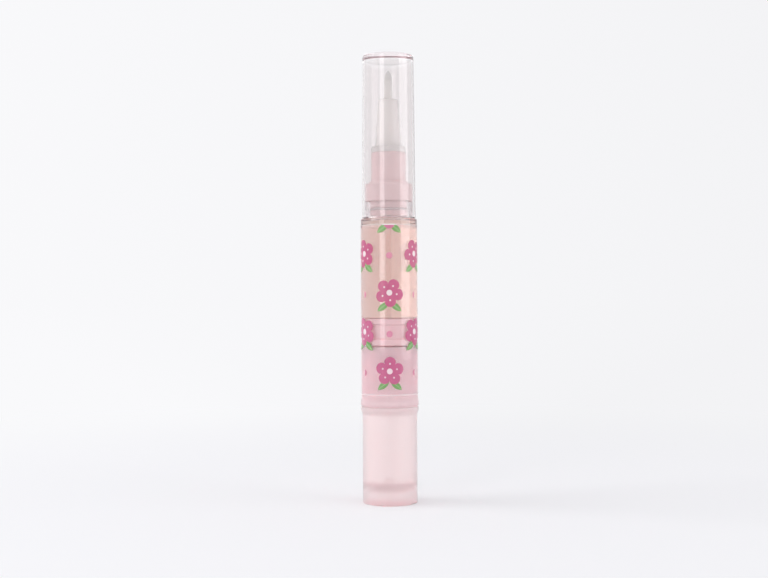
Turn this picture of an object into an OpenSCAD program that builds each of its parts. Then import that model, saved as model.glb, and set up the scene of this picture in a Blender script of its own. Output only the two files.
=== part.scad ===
// Twist-up oil pen with a brush tip. It stands upright on its knob, the z axis is its own axis,
// and the origin is the middle of the knob's foot. Lengths are in millimetres.

/* [Knob] */
// Step by which the grip stands back from the barrel
knob_step = 0.3; // [0.1:0.05:0.5]
// Wall round the knob's cavity and its foot recess
knob_wall = 1; // [0.8:0.05:1.1]
// Depth of the recess under the floor
knob_recess = 5.3; // [4.6:0.1:7]
// Thickness of the floor
knob_floor = 1.2; // [0.8:0.1:2]
// Step by which the lip at the top stands back from the barrel's ring
lip_step = 0.1; // [0.05:0.05:0.2]
// Height of the lip's straight edge
knob_lip_h = 1.1; // [0.8:0.1:1.4]
// Height of the bevel under the lip
knob_bevel_h = 1.3; // [0.6:0.1:2]
// Thickness of the end plug's disc
plug_floor = 1.7; // [1:0.1:2.2]
// Height of the end plug's ring above its disc
plug_ring_h = 2.3; // [1.2:0.1:2.3]
// Wall of the end plug's ring
plug_ring_wall = 0.8; // [0.6:0.1:1.2]

/* [Feed screw] */
// Travel of the piston
stroke = 26; // [18:0.5:30]
// Advance of the screw in one turn
lead = 2; // [1.8:0.1:2.4]
// Outside diameter of the screw thread
thread_d = 4.5; // [4.2:0.1:4.8]
// Height of the thread over its core
thread_h = 0.5; // [0.4:0.05:0.6]
// Distance across the screw's two flats
flat_w = 3.2; // [2.9:0.1:3.3]
// Space between the screw's foot and the driver's floor
rod_foot_gap = 0.7; // [0.4:0.1:1.5]
// Diameter of the screw's neck, in the piston
rod_neck_d = 2.9; // [2.6:0.1:3]
// Diameter of the screw's head, in the piston
rod_head_d = 5; // [4.6:0.1:5.6]
// Height of the screw's head
rod_head_h = 1.2; // [0.9:0.1:1.5]
// Length of the threaded part of the nut
nut_h = 5; // [4.4:0.1:7]

/* [Driver] */
// Wall of the driver's cup
driver_wall = 0.8; // [0.6:0.05:1]
// Thickness of the driver's floor
driver_floor = 1.2; // [0.8:0.1:1.6]
// Distance of the cup's rim below the guide's flange
cup_drop = 1.2; // [1:0.1:3]
// Wall of the driver's middle tube
driver_tube_wall = 1; // [0.8:0.05:1.4]
// Length of the keyed hole that turns the screw
drive_hole_len = 4.5; // [4.4:0.1:6]
// Thickness of the head below the keyed hole
driver_head_base = 0.9; // [0.6:0.1:1.2]
// Step by which the head is wider than the ledge that holds it
driver_hook = 0.4; // [0.3:0.05:0.5]

/* [Ratchet] */
// Number of clicks in a turn
ratchet_teeth = 16; // [14:1:24]
// Height of a tooth
tooth_h = 0.35; // [0.25:0.05:0.45]
// Height of the ring
ratchet_h = 4; // [3.8:0.1:4.4]
// Wall of the ring behind its teeth
ratchet_wall = 0.6; // [0.5:0.05:0.8]
// Height of a click finger
finger_h = 2.4; // [1.8:0.1:2.4]
// Thickness of a click finger
finger_t = 0.45; // [0.35:0.05:0.5]

/* [Barrel] */
// Outside diameter of the barrel
barrel_d = 17; // [16:0.1:19]
// Wall of the oil chamber
barrel_wall = 0.9; // [0.8:0.05:1.1]
// Step by which the ring at the foot stands proud of the barrel
ring_proud = 0.25; // [0.15:0.05:0.4]
// Height of the ring at the foot
barrel_ring_h = 2; // [1:0.1:3]
// Slit between the knob and the barrel
split_gap = 0.2; // [0.1:0.05:0.3]
// Height of the cone that closes the chamber
cone_h = 2.4; // [1.6:0.1:3]
// Wall of the shoulder above the cone
shoulder_wall = 0.4; // [0.3:0.1:1]
// Radius of the shoulder's outer edge
shoulder_round = 0.5; // [0.3:0.05:0.6]
// Height of the neck above the shoulder
neck_h = 5.2; // [4.6:0.1:6]
// Wall of the neck
neck_wall = 1.4; // [1.2:0.1:1.6]
// Height of the cap bead above the shoulder
bead_up = 3.3; // [2:0.1:3.8]
// Thickness of the printed film
film_t = 0.07; // [0.05:0.01:0.1]
// Distance of the film's lower edge above the barrel's ring
film_low_gap = 1.5; // [0.5:0.1:3]
// Distance of the film's upper edge below the shoulder
film_high_gap = 1.9; // [1:0.1:4]

/* [Guide sleeve] */
// Depth of the driver's ledge inside the barrel
ledge_depth = 5.8; // [5:0.1:7]
// Wall of the sleeve in the barrel
guide_wall = 0.94; // [0.8:0.02:1.1]
// Step by which the flange reaches under the barrel's end
guide_flange_lap = 0.25; // [0.15:0.05:0.3]
// Thickness of the flange
guide_flange_t = 1; // [0.6:0.1:1.4]
// Length of the journal that the knob turns on
journal_h = 7.2; // [6:0.1:9]
// Depth of the drag ring's groove
drag_groove = 0.8; // [0.7:0.05:0.9]

/* [Piston] */
// Length of the piston
piston_h = 8.1; // [7.6:0.1:9]
// Height of each of the two wiping lips
lip_h = 1.7; // [1.2:0.1:2]
// Depth of the waist between the lips
waist_depth = 0.55; // [0.4:0.05:0.8]
// Depth of the hollow under the piston
piston_hollow_h = 2.6; // [2:0.1:3]
// Wall of the hollow's skirt
piston_skirt = 1.55; // [1.2:0.05:2]
// Thickness of the web that holds the screw's head
piston_web = 1.35; // [1:0.05:1.6]

/* [Front end] */
// Height of the front collar's flange
flange_h = 5.2; // [4:0.1:6]
// Height of the small foot on the flange
collar_foot_h = 0.8; // [0.5:0.1:1.2]
// Step by which the small foot stands back from the flange
collar_foot_step = 1.15; // [0.8:0.05:1.5]
// Height of the collar above its foot
collar_h = 8.7; // [8.4:0.1:10]
// Outside diameter of the collar
collar_d = 10.6; // [10.2:0.1:11]
// Wall of the collar round the nozzle's plug
collar_wall = 1.25; // [1.1:0.05:1.4]
// Length of the collar's plug in the neck
collar_plug_h = 4.5; // [3.6:0.1:4.7]
// Depth of the seal's groove in the plug
seal_groove = 0.9; // [0.7:0.05:1]
// Diameter of the oil passage in the collar
passage_d = 5; // [4:0.1:6]
// Length of the nozzle's plug in the collar
nozzle_plug_h = 8.2; // [7:0.1:8.2]
// Diameter of the nozzle's flange
nozzle_flange_d = 10.4; // [10:0.1:10.8]
// Height of the nozzle's flange
nozzle_flange_h = 1.7; // [1:0.1:2.4]
// Diameter at the foot of the nozzle's cone
nozzle_root_d = 7.95; // [7.6:0.05:8.4]
// Diameter at the tip of the nozzle's cone
nozzle_tip_d = 6.1; // [5.4:0.1:6.6]
// Length of the nozzle's cone
nozzle_cone_h = 14.3; // [12:0.1:17]
// Depth that the brush holder reaches above the nozzle's flange
holder_up = 1.1; // [0.4:0.1:2]
// Length of the brush holder
holder_h = 10; // [8.4:0.1:10]
// Wall of the brush holder round the bristles
holder_wall = 0.95; // [0.8:0.05:1.1]
// Depth of the bristles' seat in the holder
tuft_seat = 2; // [1.5:0.1:3]

/* [Brush] */
// Diameter of the bundle of bristles
tuft_d = 2.9; // [2.6:0.1:3.1]
// Length of the bristles beyond the nozzle
tuft_out = 8.8; // [6:0.1:11]
// Thickness of the welded slice at their root
tuft_slice = 0.6; // [0.4:0.1:1]
// Rings of bristles: the bundle has six times the square of this
tuft_rings = 8; // [8:1:9]

/* [Cap] */
// Step by which the cap's mouth stands back from the barrel
cap_step = 0.4; // [0.3:0.05:0.5]
// Step by which the cap's closed end is narrower, all round, than its mouth
cap_draft = 0.4; // [0.1:0.05:0.5]
// Side wall of the cap
cap_wall = 0.75; // [0.65:0.05:0.9]
// Thickness of the cap's closed end
cap_end = 1.8; // [1:0.1:2.4]
// Room between the bristles' tip and the closed end
cap_headroom = 2.6; // [1.5:0.1:5]
// Radius of the closed end's outer edge
cap_round = 0.6; // [0.3:0.1:1]

/* [Clearances] */
// Radial gap of a seated piece
seat_gap = 0.02; // [0.01:0.01:0.03]
// Radial gap of a turning or sliding piece
slide_gap = 0.05; // [0.03:0.01:0.07]
// Axial gap between pieces that turn past each other
turn_gap = 0.1; // [0.05:0.05:0.15]
// Gap between the flanks, crests and roots of the feed thread
thread_gap = 0.15; // [0.1:0.01:0.18]
// Radial gap between the cap's bore and what it covers
cap_gap = 0.11; // [0.08:0.01:0.15]
// Radial gap between the cap's bore and the bead that grips it
bead_gap = 0.025; // [0.02:0.005:0.04]
// Gap round the screw's neck and head in the piston
head_gap = 0.15; // [0.1:0.01:0.18]
// Gap between the ratchet's crests and the fingers
click_gap = 0.08; // [0.06:0.01:0.1]

/* [Hidden] */
$fn = 96;

// Overrun of every cut past the face that it leaves
overrun = 0.5;
// Chamfer on small moulded edges
edge = 0.25;
// Steps in a rounded edge
round_steps = 6;

// Height of the lugs that key the driver to the knob
lug_h = 1.5;
// Width of a lug
lug_w = 2;
// Radial depth of a lug
lug_t = 0.9;
// Number of lugs
lug_count = 4;
// Height of the snap bead that holds the driver down
snap_h = 0.5;
// Reach of the snap bead
snap_reach = 0.2;
// Depth to which the guide's flange is let into the knob's lip
lip_recess = 1;
// Radial gap round the guide's flange
flange_gap = 0.15;

// Spare length of the screw below its keyed hole at full travel
rod_spare = 1.5;
// Spare thread beyond each end of the nut
thread_spare = 0.6;
// Width of the thread's crest, as a share of the lead
crest_share = 0.25;
// Width of the thread's root, as a share of the lead
root_share = 0.45;
// Facets in a turn of thread
turn_steps = 16;
// Depth to which a thread ridge is buried in what carries it
ridge_bury = 0.12;
// Step between the screw's flats and the thread that they cut
flat_step = 0.06;
// Space between the driver's head and the roof of the nut's skirt
nut_skirt_gap = 1.4;
// Wall of the nut's skirt
nut_skirt_wall = 0.6;
// Depth of the nut's and the ratchet ring's keys
key_depth = 0.36;
// Width of the keys
key_w = 1.2;

// Height of the groove that the click fingers lie in
finger_room_h = finger_h + 4 * turn_gap;
// Depth of that groove
finger_room = 0.85;
// Angle at which a finger ends
finger_a0 = 10;
// Angle at which a finger's root starts
finger_a1 = 64;
// Angle at which a finger's root ends
finger_a2 = 78;
// Angle that the nub on a finger covers
nub_a = 9;
// Width of the slots that let the driver's head spring in
slot_w = 0.8;
// Depth of those slots below the keyed hole
slot_down = 3;

// Space between the piston and the sleeve at rest
piston_gap = 0.5;
// Oil left above the piston at full travel
oil_left = 0.8;
// Gap between the oil and what holds it
oil_gap = 0.05;
// Chamfer that runs the piston's waist out to its lips
waist_run = 0.5;
// Space between the screw's shoulder and the piston's web
push_gap = 0.1;

// Height of the cap bead to each side of its crest
bead_h = 0.6;
// Distance of the seal's groove above the plug's end
seal_up = 1.6;
// Gap of the cap's mouth over the shoulder
mouth_gap = 0.1;
// Gap between the film and the wall that it is stuck on
film_gap = 0.01;
// Radial gap round the bristles in the nozzle
tuft_gap = 0.15;
// Number of oil flutes on the brush holder
flute_count = 3;
// Radius of an oil flute
flute_r = 0.45;
// Diameter of the feed hole in the brush holder
feed_d = 1.8;
// Rounding of the nozzle's tip
tip_round = 0.5;
// Share of its cell that a bristle fills
bristle_share = 0.62;
// Width of a bristle's tip, as a share of its root
bristle_tip_share = 0.55;
// Share by which the bundle closes in from root to tip
tuft_lean_share = 0.1;
// Height by which the outer bristles end below the middle ones
tuft_dome = 2.2;

// Heights, from the foot up. The travel sets the knob's length and the barrel's
floor_top = knob_recess + knob_floor;
driver_z = floor_top + turn_gap;
driver_floor_top = driver_z + driver_floor;
rod_z = driver_floor_top + rod_foot_gap;
hole_z = rod_z + stroke + rod_spare;
head_z = hole_z - driver_head_base;
head_top = hole_z + drive_hole_len;
ledge_z = head_z - turn_gap;
barrel_z = ledge_z - ledge_depth;
knob_top = barrel_z - split_gap;
flange_low = barrel_z - guide_flange_t;
journal_z = flange_low - journal_h;
cup_top = flange_low - cup_drop;
ratchet_top = ledge_z + ratchet_h;
nut_z = head_top + nut_skirt_gap;
guide_top = nut_z + nut_h;
piston_z = guide_top + piston_gap;
piston_top = piston_z + piston_h;
oil_z = piston_top + 2 * oil_gap;
oil_top = oil_z + stroke + oil_left;
cone_z = oil_top + 2 * oil_gap;
cone_top = cone_z + cone_h;
shoulder_z = cone_top + shoulder_wall;
neck_top = shoulder_z + neck_h;
bead_z = shoulder_z + bead_up;
flange_top = neck_top + flange_h;
foot_top = flange_top + collar_foot_h;
collar_top = foot_top + collar_h;
plug_z = neck_top - collar_plug_h;
nozzle_z = collar_top - nozzle_plug_h;
cone_root = collar_top + nozzle_flange_h;
holder_top = cone_root + holder_up;
holder_z = holder_top - holder_h;
tuft_z = holder_top - tuft_seat;
nozzle_top = cone_root + nozzle_cone_h;
tuft_top = nozzle_top + tuft_out;
cap_z = shoulder_z + mouth_gap;
cap_inner_top = tuft_top + cap_headroom;
cap_top = cap_inner_top + cap_end;
web_z = piston_z + piston_hollow_h;
web_top = web_z + piston_web;
film_z = barrel_z + barrel_ring_h + film_low_gap;
film_top = shoulder_z - film_high_gap;
thread_z = nut_z - stroke - thread_spare;
thread_top = guide_top + thread_spare;

// Radii of the barrel and what is in it, from the outside inwards
barrel_r = barrel_d / 2;
foot_r = barrel_r + ring_proud;
bore_r = barrel_r - barrel_wall;
guide_r = bore_r - seat_gap;
seat_r = guide_r - guide_wall;
ring_r = seat_r - seat_gap;
tooth_root_r = ring_r - ratchet_wall;
crest_r = tooth_root_r - tooth_h;
nub_r = crest_r - click_gap;
head_r = nub_r - tooth_h / 2;
ledge_r = head_r - driver_hook;
tube_r = ledge_r - 3 * slide_gap;
driver_bore_r = tube_r - driver_tube_wall;
flange_r = bore_r + guide_flange_lap;
piston_r = bore_r - slide_gap;

// Radii of the knob and what turns in it
knob_r = barrel_r - knob_step;
cavity_r = knob_r - knob_wall;
cup_r = cavity_r - seat_gap;
cup_bore_r = cup_r - driver_wall;
journal_r = cup_bore_r - slide_gap;
drag_root_r = journal_r - drag_groove;
drag_sec_r = (cup_bore_r - drag_root_r - seat_gap) / 2 - seat_gap;

// Radii of the feed thread
crest_thread_r = thread_d / 2;
core_r = crest_thread_r - thread_h;
nut_bore_r = crest_thread_r + thread_gap;
nut_crest_r = core_r + thread_gap;

// Radii of the cap and the front end
cap_mouth_r = barrel_r - cap_step;
cap_top_r = cap_mouth_r - cap_draft;
function cap_bore_r(z) =
    cap_mouth_r - cap_wall + (cap_top_r - cap_mouth_r) * (z - cap_z) / (cap_top - cap_z);
neck_r = cap_bore_r(flange_top) - cap_gap;
bead_r = cap_bore_r(bead_z) - bead_gap;
neck_bore_r = neck_r - neck_wall;
plug_r = neck_bore_r - slide_gap;
seal_root_r = plug_r - seal_groove;
seal_sec_r = (neck_bore_r - seal_root_r) / 2 - seat_gap;
collar_r = collar_d / 2;
nozzle_seat_r = collar_r - collar_wall;
nozzle_plug_r = nozzle_seat_r - slide_gap;
tuft_r = tuft_d / 2;
holder_bore_r = tuft_r + slide_gap;
holder_r = holder_bore_r + holder_wall;
holder_seat_r = holder_r + slide_gap;

echo(stroke_turns = stroke / lead, knob_top = knob_top, height = cap_top);
echo(chamber_ml = PI * pow(bore_r, 2) * (cone_z - piston_top) / 1000);
echo(nozzle_gap = holder_z - nozzle_z, bristles = 6 * pow(tuft_rings, 2));

// Point at a radius and an angle
function polar(r, a) = [r * cos(a), r * sin(a)];

// Points of a rounded edge, from angle a0 to angle a1
function arc(c, r, a0, a1) =
    [for (i = [0:round_steps]) c + polar(r, a0 + (a1 - a0) * i / round_steps)];

// Solid of revolution from an outline in radius and height
module turned(outline) {
    rotate_extrude() polygon(outline);
}

// Ridge that winds up the axis: from a0, half_low and half_high are its half widths at r_low and r_high
module ridge(r_low, r_high, half_low, half_high, z, a0, a1) {
    steps = ceil((a1 - a0) / 360 * turn_steps);
    section = [[r_low, -half_low], [r_high, -half_high], [r_high, half_high], [r_low, half_low]];
    points = [
        for (i = [0:steps], p = section)
            let (a = a0 + (a1 - a0) * i / steps)
            [p[0] * cos(a), p[0] * sin(a), z + lead * a / 360 + p[1]]
    ];
    sides = [
        for (i = [0:steps - 1], k = [0:3])
            let (low = 4 * i + k, next = 4 * i + (k + 1) % 4)
            each [[low, next + 4, low + 4], [low, next, next + 4]]
    ];
    end = 4 * steps;
    polyhedron(points, concat([[0, 2, 1], [0, 3, 2]], sides,
        [[end, end + 1, end + 2], [end, end + 2, end + 3]]));
}

// Outline of a round bar with two flats, grown by a gap
module double_flat(r, w) {
    intersection() {
        circle(r);
        square([w, 2 * r + overrun], center = true);
    }
}

// Half width of the screw's ridge at a radius
function ridge_half(r) =
    lead / 2 * (root_share - (root_share - crest_share) * (r - core_r) / thread_h);

// Half width of the nut's ridge at a radius, in what the screw's ridge leaves free
function nut_half(r) = lead / 2 - ridge_half(r) - thread_gap;

// Two keys on opposite sides, from radius r0 out to r1
module keys(r0, r1, w, z, h) {
    intersection() {
        translate([0, 0, z]) linear_extrude(h) difference() {
            circle(r1);
            circle(r0);
        }
        translate([-r1 - overrun, -w / 2, z - overrun])
            cube([2 * (r1 + overrun), w, h + 2 * overrun]);
    }
}

// Clear cap with a slight draft, closed at the top
module cap() {
    color([0.93, 0.91, 0.93, 0.4]) turned(concat(
        [[cap_bore_r(cap_z) + edge, cap_z], [cap_mouth_r - edge, cap_z], [cap_mouth_r, cap_z + edge]],
        arc([cap_top_r - cap_round, cap_top - cap_round], cap_round, 0, 90),
        [[0, cap_top], [0, cap_inner_top], [cap_bore_r(cap_inner_top), cap_inner_top],
         [cap_bore_r(cap_z + edge), cap_z + edge]]
    ));
}

// Bundle of three-sided bristles on their welded slice. The slice is a disc of triangles in rings,
// and a bristle stands on the middle of each
module brush_tuft() {
    n = tuft_rings;
    slice_top = tuft_z + tuft_slice;
    full_h = tuft_top - slice_top;
    // First point of a ring, and the number of the ring's point i
    first = [for (k = [0:n]) k == 0 ? 0 : 1 + 3 * k * (k - 1)];
    count = first[n] + 6 * n;
    spots = [
        for (k = [0:n], i = [0:max(1, 6 * k) - 1]) polar(tuft_r * k / n, k == 0 ? 0 : 60 * i / k)
    ];
    cells = [
        for (k = [0:n - 1], s = [0:5])
            let (m = max(1, 6 * k), outer = 6 * (k + 1))
            each concat(
                [for (i = [0:k]) [
                    first[k] + (s * k + i) % m,
                    first[k + 1] + s * (k + 1) + i,
                    first[k + 1] + (s * (k + 1) + i + 1) % outer
                ]],
                [for (i = [0:1:k - 1]) [
                    first[k] + s * k + i,
                    first[k + 1] + s * (k + 1) + i + 1,
                    first[k] + (s * k + i + 1) % m
                ]]
            )
    ];
    middles = [for (c = cells) (spots[c[0]] + spots[c[1]] + spots[c[2]]) / 3];
    roots = [
        for (t = [0:len(cells) - 1], j = [0:2])
            let (p = middles[t] + bristle_share * (spots[cells[t][j]] - middles[t]))
            [p[0], p[1], slice_top]
    ];
    tips = [
        for (t = [0:len(cells) - 1], j = [0:2])
            let (
                fall = tuft_dome * pow(norm(middles[t]) / tuft_r, 2),
                close = 1 - tuft_lean_share * (full_h - fall) / full_h,
                corner = spots[cells[t][j]] - middles[t],
                p = close * (middles[t] + bristle_tip_share * bristle_share * corner)
            )
            [p[0], p[1], tuft_top - fall]
    ];
    root0 = 2 * count;
    tip0 = root0 + len(roots);
    faces = concat(
        [for (c = cells) c],
        [for (i = [0:6 * n - 1])
            let (a = first[n] + i, b = first[n] + (i + 1) % (6 * n))
            each [[a, a + count, b + count], [a, b + count, b]]],
        [for (t = [0:len(cells) - 1], j = [0:2])
            let (
                k = (j + 1) % 3,
                a = count + cells[t][j], b = count + cells[t][k],
                ra = root0 + 3 * t + j, rb = root0 + 3 * t + k,
                ta = ra + len(roots), tb = rb + len(roots)
            )
            each [[a, ra, rb], [a, rb, b], [ra, ta, tb], [ra, tb, rb]]],
        [for (t = [0:len(cells) - 1]) let (a = tip0 + 3 * t) [a, a + 2, a + 1]]
    );
    color([0.93, 0.88, 0.82]) polyhedron(concat(
        [for (p = spots) [p[0], p[1], tuft_z]],
        [for (p = spots) [p[0], p[1], slice_top]],
        roots, tips
    ), faces);
}

// Holder that seats the bristles in the nozzle and lets oil past in its flutes
module brush_holder() {
    color([0.95, 0.94, 0.93]) difference() {
        turned([
            [feed_d / 2, holder_z], [holder_r - edge, holder_z], [holder_r, holder_z + edge],
            [holder_r, holder_top], [holder_bore_r, holder_top], [holder_bore_r, tuft_z],
            [feed_d / 2, tuft_z]
        ]);
        for (i = [0:flute_count - 1])
            rotate(360 / flute_count * i)
                translate([holder_r + flute_r / 3, 0, holder_z - overrun])
                    cylinder(r = flute_r, h = holder_h + 2 * overrun);
    }
}

// Milky nozzle with a plug, a flange and a long cone round the bristles
module nozzle() {
    tip_r = nozzle_tip_d / 2;
    color([0.95, 0.94, 0.93]) turned(concat(
        [[holder_seat_r, nozzle_z], [nozzle_plug_r - edge, nozzle_z],
         [nozzle_plug_r, nozzle_z + edge], [nozzle_plug_r, collar_top],
         [nozzle_flange_d / 2, collar_top], [nozzle_flange_d / 2, cone_root - edge],
         [nozzle_flange_d / 2 - edge, cone_root], [nozzle_root_d / 2, cone_root]],
        arc([tip_r - tip_round, nozzle_top - tip_round], tip_round, 0, 90),
        [[tuft_r + tuft_gap, nozzle_top], [tuft_r + tuft_gap, holder_top],
         [holder_seat_r, holder_top]]
    ));
}

// Collar that plugs the barrel's neck and carries the nozzle
module front_collar() {
    groove_z = plug_z + seal_up;
    groove_top = groove_z + 2 * (seal_sec_r + seat_gap);
    passage_r = passage_d / 2;
    foot_top_r = neck_r - collar_foot_step - edge;
    color([0.93, 0.78, 0.8]) turned([
        [passage_r, plug_z], [plug_r - edge, plug_z], [plug_r, plug_z + edge],
        [plug_r, groove_z], [seal_root_r, groove_z], [seal_root_r, groove_top], [plug_r, groove_top],
        [plug_r, neck_top], [neck_r, neck_top], [neck_r, flange_top - edge],
        [neck_r - edge, flange_top], [foot_top_r + edge, flange_top],
        [foot_top_r, foot_top], [collar_r, foot_top], [collar_r, collar_top - edge],
        [collar_r - edge, collar_top], [nozzle_seat_r, collar_top], [nozzle_seat_r, nozzle_z],
        [passage_r, nozzle_z]
    ]);
}

// Rubber ring that seals the collar's plug in the neck
module collar_seal() {
    color([0.9, 0.9, 0.9])
        translate([0, 0, plug_z + seal_up + seal_sec_r + seat_gap])
            rotate_extrude() translate([seal_root_r + seat_gap + seal_sec_r, 0]) circle(seal_sec_r);
}

// Clear barrel: the oil chamber, its foot ring, its shoulder and the neck for the cap
module barrel() {
    ring_top = barrel_z + barrel_ring_h;
    color([0.95, 0.9, 0.91, 0.4]) turned(concat(
        [[bore_r, barrel_z], [foot_r - edge, barrel_z], [foot_r, barrel_z + edge],
         [foot_r, ring_top - edge], [barrel_r, ring_top]],
        arc([barrel_r - shoulder_round, shoulder_z - shoulder_round], shoulder_round, 0, 90),
        [[neck_r, shoulder_z], [neck_r, bead_z - bead_h], [bead_r, bead_z],
         [neck_r, bead_z + bead_h], [neck_r, neck_top - edge], [neck_r - edge, neck_top],
         [neck_bore_r, neck_top], [neck_bore_r, cone_top], [bore_r, cone_z]]
    ));
}

// Clear printed film that is wrapped round the barrel
module label_film() {
    inner_r = barrel_r + film_gap;
    color([0.97, 0.85, 0.88, 0.5]) turned([
        [inner_r, film_z], [inner_r + film_t, film_z], [inner_r + film_t, film_top], [inner_r, film_top]
    ]);
}

// The oil in the chamber
module oil_fill() {
    color([0.93, 0.76, 0.72, 0.6])
        translate([0, 0, oil_z]) cylinder(r = bore_r - oil_gap, h = oil_top - oil_z);
}

// Piston with two wiping lips, a hollow skirt and a socket for the screw's head
module piston() {
    waist_r = piston_r - waist_depth;
    hollow_r = piston_r - piston_skirt;
    neck_hole_r = rod_neck_d / 2 + head_gap;
    socket_r = rod_head_d / 2 + head_gap;
    socket_top = web_top + rod_head_h + 2 * head_gap;
    color([0.92, 0.72, 0.76]) turned([
        [0, socket_top], [socket_r, socket_top], [socket_r, web_top], [neck_hole_r, web_top],
        [neck_hole_r, web_z], [hollow_r, web_z], [hollow_r, piston_z], [piston_r - edge, piston_z],
        [piston_r, piston_z + edge], [piston_r, piston_z + lip_h],
        [waist_r, piston_z + lip_h + waist_run], [waist_r, piston_top - lip_h - waist_run],
        [piston_r, piston_top - lip_h], [piston_r, piston_top - edge],
        [piston_r - edge, piston_top], [0, piston_top]
    ]);
}

// Feed screw: a core with two flats, a thread that they interrupt, a neck and a head
module screw_rod() {
    shoulder = web_z - push_gap;
    head_low = web_top + head_gap;
    flat_x = flat_w / 2 - flat_step;
    buried_r = core_r - ridge_bury;
    color([0.95, 0.93, 0.92]) union() {
        translate([0, 0, rod_z]) linear_extrude(shoulder - rod_z) double_flat(core_r, flat_w);
        translate([0, 0, shoulder - overrun])
            cylinder(r = rod_neck_d / 2, h = head_low - shoulder + 2 * overrun);
        translate([0, 0, head_low]) cylinder(r = rod_head_d / 2, h = rod_head_h);
        intersection() {
            ridge(buried_r, crest_thread_r, ridge_half(buried_r), ridge_half(crest_thread_r),
                thread_z, 0, 360 * (thread_top - thread_z) / lead);
            translate([-flat_x, -thread_d, thread_z - lead])
                cube([2 * flat_x, 2 * thread_d, thread_top - thread_z + 2 * lead]);
        }
    }
}

// Nut that the screw winds through, with a skirt that stands on the ratchet ring
module thread_nut() {
    skirt_r = ring_r - nut_skirt_wall;
    bury_r = nut_bore_r + ridge_bury;
    margin = nut_half(bury_r) + turn_gap;
    low_turns = (nut_z + margin - lead / 2 - thread_z) / lead;
    high_turns = (guide_top - margin - lead / 2 - thread_z) / lead;
    color([0.95, 0.87, 0.88]) union() {
        turned([
            [nut_bore_r, nut_z], [skirt_r, nut_z], [skirt_r, ratchet_top], [ring_r, ratchet_top],
            [ring_r, guide_top], [nut_bore_r, guide_top]
        ]);
        ridge(nut_crest_r, bury_r, nut_half(nut_crest_r), nut_half(bury_r),
            thread_z + lead / 2, 360 * low_turns, 360 * high_turns);
        keys(ring_r - ridge_bury, ring_r + key_depth - seat_gap, key_w - 2 * seat_gap,
            ratchet_top, guide_top - ratchet_top);
    }
}

// Ring of saw teeth that the click fingers ride over when the knob turns forwards
module ratchet_ring() {
    step = 360 / ratchet_teeth;
    ramp_share = 0.9;
    color([0.96, 0.95, 0.94]) union() {
        translate([0, 0, ledge_z]) linear_extrude(ratchet_h) difference() {
            circle(ring_r);
            polygon([
                for (i = [0:ratchet_teeth - 1], p = [[tooth_root_r, 0], [crest_r, ramp_share]])
                    polar(p[0], step * (i + p[1]))
            ]);
        }
        keys(ring_r - ridge_bury, ring_r + key_depth - seat_gap, key_w - 2 * seat_gap,
            ledge_z, ratchet_h);
    }
}

// Sleeve fixed in the barrel: it holds the nut and the ratchet ring, and the knob turns on its journal
module guide_sleeve() {
    drag_z = journal_z + (journal_h - drag_groove) / 2;
    color([0.96, 0.8, 0.82]) difference() {
        turned([
            [ledge_r, journal_z], [journal_r - edge, journal_z], [journal_r, journal_z + edge],
            [journal_r, drag_z], [drag_root_r, drag_z], [drag_root_r, drag_z + drag_groove],
            [journal_r, drag_z + drag_groove], [journal_r, flange_low], [flange_r, flange_low],
            [flange_r, barrel_z], [guide_r, barrel_z], [guide_r, guide_top], [seat_r, guide_top],
            [seat_r, ledge_z], [ledge_r, ledge_z]
        ]);
        keys(seat_r - ridge_bury, seat_r + key_depth, key_w, ledge_z, guide_top - ledge_z + overrun);
    }
}

// Rubber ring that gives the knob its smooth drag
module drag_ring() {
    color([0.85, 0.85, 0.86])
        translate([0, 0, journal_z + journal_h / 2])
            rotate_extrude() translate([drag_root_r + seat_gap + drag_sec_r, 0]) circle(drag_sec_r);
}

// Cup and middle tube that carry the knob's turn to the screw through a keyed hole
module driver_sleeve() {
    room_z = head_z + driver_head_base;
    hub_r = head_r - finger_room;
    finger_z = room_z + (finger_room_h - finger_h) / 2;
    color([0.96, 0.93, 0.93]) union() {
        difference() {
            turned([
                [0, driver_z], [cup_r, driver_z], [cup_r, cup_top], [cup_bore_r, cup_top],
                [cup_bore_r, driver_floor_top], [tube_r, driver_floor_top], [tube_r, head_z],
                [head_r, head_z], [head_r, room_z], [hub_r, room_z],
                [hub_r, room_z + finger_room_h], [head_r, room_z + finger_room_h],
                [head_r, head_top - edge], [head_r - 2 * edge, head_top], [0, head_top]
            ]);
            translate([0, 0, driver_floor_top])
                cylinder(r = driver_bore_r, h = hole_z - driver_floor_top);
            translate([0, 0, hole_z - overrun]) linear_extrude(drive_hole_len + 2 * overrun)
                double_flat(crest_thread_r + 2 * slide_gap, flat_w + 4 * slide_gap);
            translate([-slot_w / 2, -head_r - overrun, hole_z - slot_down])
                cube([slot_w, 2 * (head_r + overrun), slot_down + drive_hole_len + overrun]);
            for (i = [0:lug_count - 1])
                rotate(360 / lug_count * i)
                    translate([cavity_r - lug_t - turn_gap, -lug_w / 2 - turn_gap, driver_z - overrun])
                        cube([lug_t + overrun, lug_w + 2 * turn_gap, lug_h + overrun]);
        }
        for (i = [0, 1]) rotate(180 * i) {
            finger_piece(head_r - finger_t, head_r, finger_z, finger_a0, finger_a2);
            finger_piece(hub_r - ridge_bury, head_r, finger_z, finger_a1, finger_a2);
            finger_piece(head_r - finger_t, nub_r, finger_z, finger_a0, finger_a0 + nub_a);
        }
    }
}

// Part of a click finger: a curved bar between two radii and two angles
module finger_piece(r0, r1, z, a0, a1) {
    translate([0, 0, z]) rotate(a0) rotate_extrude(angle = a1 - a0)
        translate([r0, 0]) square([r1 - r0, finger_h]);
}

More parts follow.
